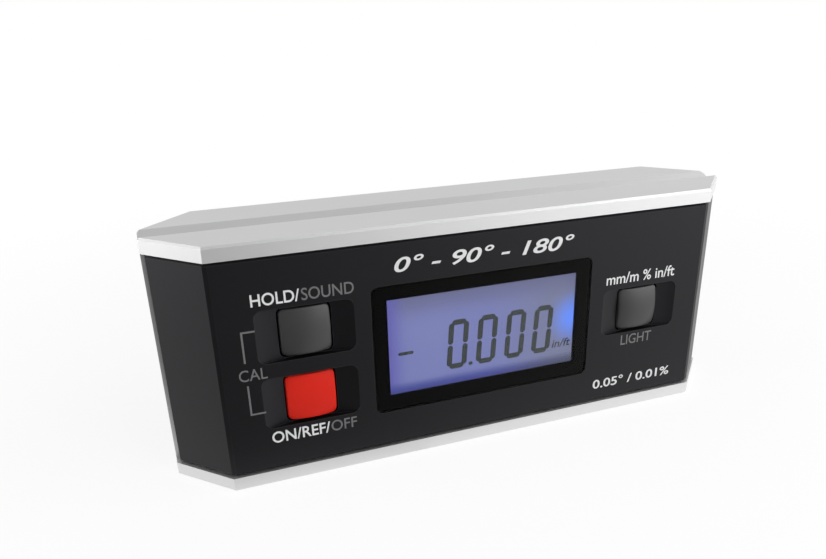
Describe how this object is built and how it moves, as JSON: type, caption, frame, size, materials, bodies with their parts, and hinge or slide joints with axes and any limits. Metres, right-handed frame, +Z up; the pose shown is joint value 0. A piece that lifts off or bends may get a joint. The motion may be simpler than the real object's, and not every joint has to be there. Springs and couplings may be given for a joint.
{
  "type": "digital angle gauge",
  "caption": "Box-shaped digital angle gauge with pointed ends, V-grooved aluminium rails, black covers, a lit display and sprung push keys.",
  "frame": {"origin": "middle of the bottom rail's underside", "axes": "+X along the body to the right, +Y to the rear, +Z up; the display faces -Y"},
  "size_m": [0.152, 0.032, 0.06],
  "materials": {
    "aluminium": "fine satin, machined",
    "black_plastic": "fine moulded satin",
    "seal_rubber": "matte",
    "clear_lens": "polished acrylic",
    "mask_black": "printed black",
    "lcd_glass": "backlit display film",
    "light_guide": "frosted acrylic",
    "led_blue": "clear",
    "strip_rubber": "matte",
    "white_plastic": "moulded",
    "board_green": "lacquered",
    "chip_black": "moulded",
    "bright_steel": "plated",
    "key_grey": "satin",
    "key_red": "satin",
    "sensor_brass": "plain",
    "screw_steel": "zinc plated",
    "cell_wrap": "plain sleeve"
  },
  "bodies": {
    "body": {"frame": "aluminium", "front_cover": "black_plastic", "rear_cover": "black_plastic", "front_gasket": "seal_rubber", "rear_gasket": "seal_rubber", "door_gasket": "seal_rubber", "display_lens": "clear_lens", "lens_mask": "mask_black", "lcd_panel": "lcd_glass", "light_guide": "light_guide", "backlight_led": "led_blue", "contact_strips": "strip_rubber", "lcd_holder": "white_plastic", "main_board": "board_green", "controller_chip": "chip_black", "board_parts": "chip_black", "buzzer": "chip_black", "key_switches": "bright_steel", "tilt_sensor": "sensor_brass", "sensor_screws": "screw_steel", "battery_cells": "cell_wrap", "battery_springs": "bright_steel", "battery_plates": "bright_steel", "battery_door": "black_plastic", "door_screws": "screw_steel", "cover_screws": "screw_steel", "board_screws": "screw_steel"},
    "hold_push": {"hold_key": "key_grey", "hold_plunger": "white_plastic"},
    "power_push": {"power_key": "key_red", "power_plunger": "white_plastic"},
    "unit_push": {"unit_key": "key_grey", "unit_plunger": "white_plastic"}
  },
  "joints": [
    {"name": "hold_press", "type": "slide", "parent": "body", "child": "hold_push", "axis": [0, 1, 0], "range_m": [0, 0.0008], "stiffness_N_per_m": 1500},
    {"name": "power_press", "type": "slide", "parent": "body", "child": "power_push", "axis": [0, 1, 0], "range_m": [0, 0.0008], "stiffness_N_per_m": 1500},
    {"name": "unit_press", "type": "slide", "parent": "body", "child": "unit_push", "axis": [0, 1, 0], "range_m": [0, 0.0008], "stiffness_N_per_m": 1500}
  ]
}
